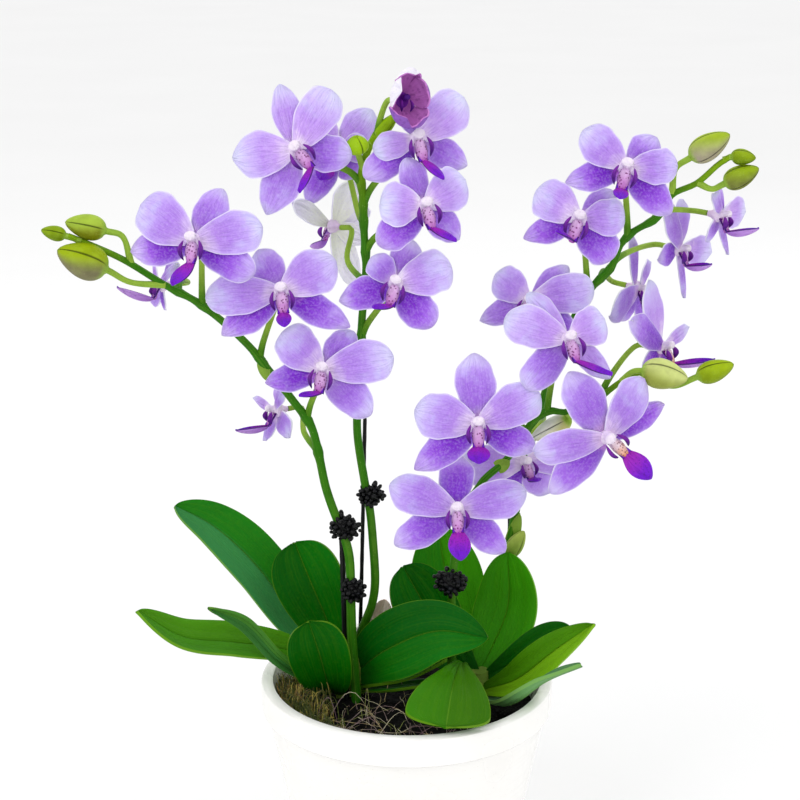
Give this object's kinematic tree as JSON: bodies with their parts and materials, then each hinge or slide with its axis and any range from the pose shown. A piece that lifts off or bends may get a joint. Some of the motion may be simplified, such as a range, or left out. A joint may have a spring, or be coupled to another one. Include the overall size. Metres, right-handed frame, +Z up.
{
  "type": "potted moth orchid",
  "caption": "Flowering violet moth orchid with arching flower spikes, strap leaves, dark stakes and claw clips, in a plain round white pot of dark potting medium.",
  "frame": {"origin": "centre of the pot's underside", "axes": "+Z up along the pot's axis, +X to the viewer's right, +Y away from the viewer, with the front of the plant facing -Y"},
  "size_m": [0.3005, 0.131, 0.3791],
  "materials": {
    "glaze": "smooth white glaze",
    "medium": "rough dark bark and moss",
    "crown": "dull green stem",
    "dry": "dry papery sheath",
    "leaf": "smooth leathery leaf",
    "stem": "smooth green stem",
    "black": "dull black plastic",
    "bloom": "soft violet petal",
    "young_bloom": "soft magenta petal"
  },
  "bodies": {
    "root": {"pot": "glaze", "potting_medium": "medium", "crown_left": "crown", "crown_right": "crown", "dry_sheath": "dry", "leaf_left_high": "leaf", "leaf_left_back": "leaf", "leaf_left_far": "leaf", "leaf_left_edge": "leaf", "leaf_left_front": "leaf", "leaf_middle_front": "leaf", "leaf_middle_under": "leaf", "leaf_middle_low": "leaf", "leaf_right_left": "leaf", "leaf_right_back": "leaf", "leaf_right_tall": "leaf", "leaf_right_inner": "leaf", "leaf_right_outer": "leaf", "leaf_right_thin": "leaf", "leaf_right_front": "leaf", "spike_left": "stem", "spike_middle": "stem", "spike_right": "stem", "spike_low": "stem", "stake_left": "black", "stake_middle": "black", "stake_right": "black", "clip_left_high": "black", "clip_left_low": "black", "clip_middle": "black", "clip_right": "black", "bloom_left_1": "bloom", "bloom_left_2": "bloom", "bloom_left_3": "bloom", "bloom_left_4": "bloom", "bloom_left_5": "bloom", "bloom_middle_1": "bloom", "bloom_middle_2": "bloom", "bloom_middle_3": "bloom", "bloom_middle_4": "young_bloom", "bloom_middle_5": "bloom", "bloom_middle_6": "bloom", "bloom_middle_7": "bloom", "bloom_right_1": "bloom", "bloom_right_2": "bloom", "bloom_right_3": "bloom", "bloom_right_4": "bloom", "bloom_right_5": "bloom", "bloom_right_6": "bloom", "bloom_right_7": "bloom", "bloom_right_8": "bloom", "bloom_right_9": "bloom", "bloom_right_10": "bloom", "bloom_right_11": "bloom", "bloom_right_12": "bloom"}
  },
  "joints": []
}
